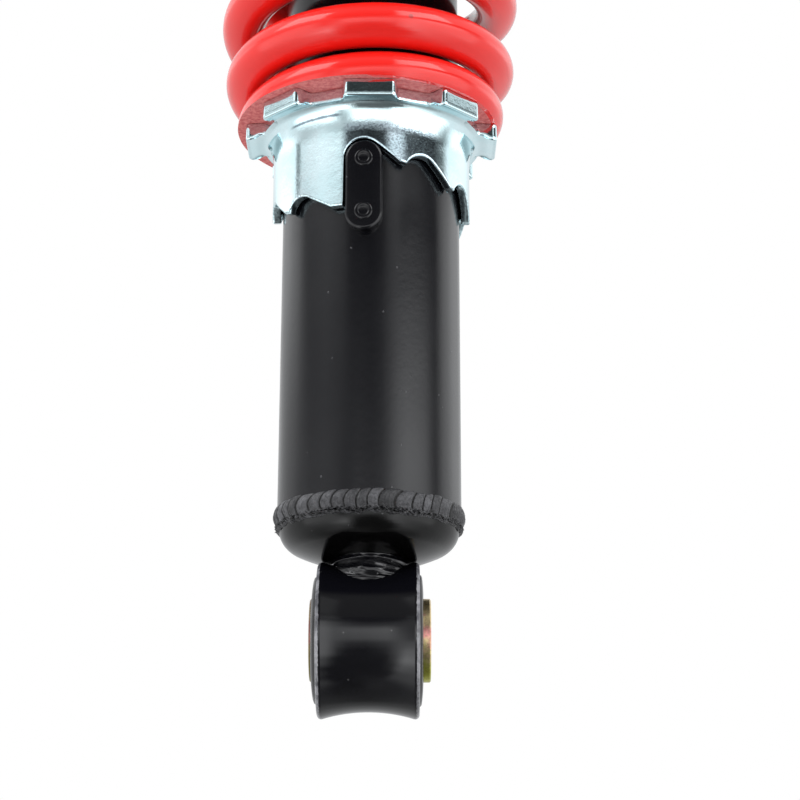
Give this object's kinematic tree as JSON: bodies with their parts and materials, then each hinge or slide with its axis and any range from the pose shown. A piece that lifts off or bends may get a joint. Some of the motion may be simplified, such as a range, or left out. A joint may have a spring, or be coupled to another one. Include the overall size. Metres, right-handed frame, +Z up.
{
  "type": "rear shock absorber",
  "caption": "Coil-over rear shock absorber: sprung twin-tube damper with a bushed eye at each end and a stepped cam ring that sets the spring preload.",
  "frame": {"origin": "centre of the lower eye bore", "axes": "+Z up the damper axis to the upper eye, +X along both eye bolts"},
  "size_m": [0.0776, 0.0776, 0.3672],
  "materials": {
    "black_paint": "gloss",
    "red_coat": "gloss",
    "zinc_plate": "bright",
    "yellow_zinc": "bright",
    "bush_rubber": "satin",
    "chrome_rod": "polished",
    "plain_steel": "satin",
    "piston_metal": "satin",
    "guide_alloy": "satin",
    "bearing_bronze": "satin",
    "band_plastic": "matte",
    "seal_rubber": "matte",
    "foam_stop": "matte"
  },
  "bodies": {
    "damper_body": {"lower_eye": "black_paint", "lower_eye_weld": "black_paint", "bottom_cap": "black_paint", "cap_weld_bead": "black_paint", "body_tube": "black_paint", "stop_lugs": "black_paint", "lug_plug_welds": "black_paint", "lower_bush_rubber": "bush_rubber", "pressure_tube": "plain_steel", "base_valve_body": "piston_metal", "base_valve_shims": "plain_steel", "base_valve_bolt": "plain_steel", "base_valve_nut": "plain_steel", "rod_guide": "guide_alloy", "rod_bushing": "bearing_bronze", "oil_seal": "seal_rubber", "gland_cap": "zinc_plate", "dust_wiper": "seal_rubber"},
    "lower_sleeve": {"lower_bush_sleeve": "yellow_zinc"},
    "spring_carriage": {"coil_spring": "red_coat"},
    "cam_ring": {"preload_ring": "zinc_plate"},
    "top_seat": {"upper_spring_seat": "black_paint", "spring_isolator": "seal_rubber"},
    "rod": {"piston_rod": "chrome_rod", "upper_eye": "black_paint", "upper_bush_rubber": "bush_rubber", "lock_nut": "zinc_plate", "bump_washer": "zinc_plate", "bump_stop": "foam_stop", "top_out_bush": "guide_alloy", "compression_shims": "plain_steel", "rebound_shims": "plain_steel", "piston": "piston_metal", "piston_band": "band_plastic", "piston_nut": "plain_steel"},
    "upper_sleeve": {"upper_bush_sleeve": "yellow_zinc"}
  },
  "joints": [
    {"name": "stroke", "type": "slide", "parent": "damper_body", "child": "top_seat", "axis": [0, 0, 1], "range_m": [-0.05, 0], "stiffness_N_per_m": 60000, "deforming": ["coil_spring"]},
    {"name": "rod_swivel", "type": "hinge", "parent": "top_seat", "child": "rod", "pos_m": [0, 0, 0.2955], "axis": [0, 0, 1], "continuous": true},
    {"name": "preload_lift", "type": "slide", "parent": "damper_body", "child": "spring_carriage", "axis": [0, 0, 1], "range_m": [0, 0.00481]},
    {"name": "preload_turn", "type": "hinge", "parent": "spring_carriage", "child": "cam_ring", "pos_m": [0, 0, 0.1325], "axis": [0, 0, -1], "range_deg": [0, 14]},
    {"name": "lower_bush_twist", "type": "hinge", "parent": "damper_body", "child": "lower_sleeve", "pos_m": [0, 0, 0], "axis": [1, 0, 0], "range_deg": [-15, 15], "stiffness_Nm_per_rad": 0.5},
    {"name": "upper_bush_twist", "type": "hinge", "parent": "rod", "child": "upper_sleeve", "pos_m": [0, 0, 0.33], "axis": [1, 0, 0], "range_deg": [-15, 15], "stiffness_Nm_per_rad": 0.5}
  ],
  "couplings": [
    {"joint": "preload_turn", "follows": "preload_lift", "rad_per_m": 50.791}
  ]
}
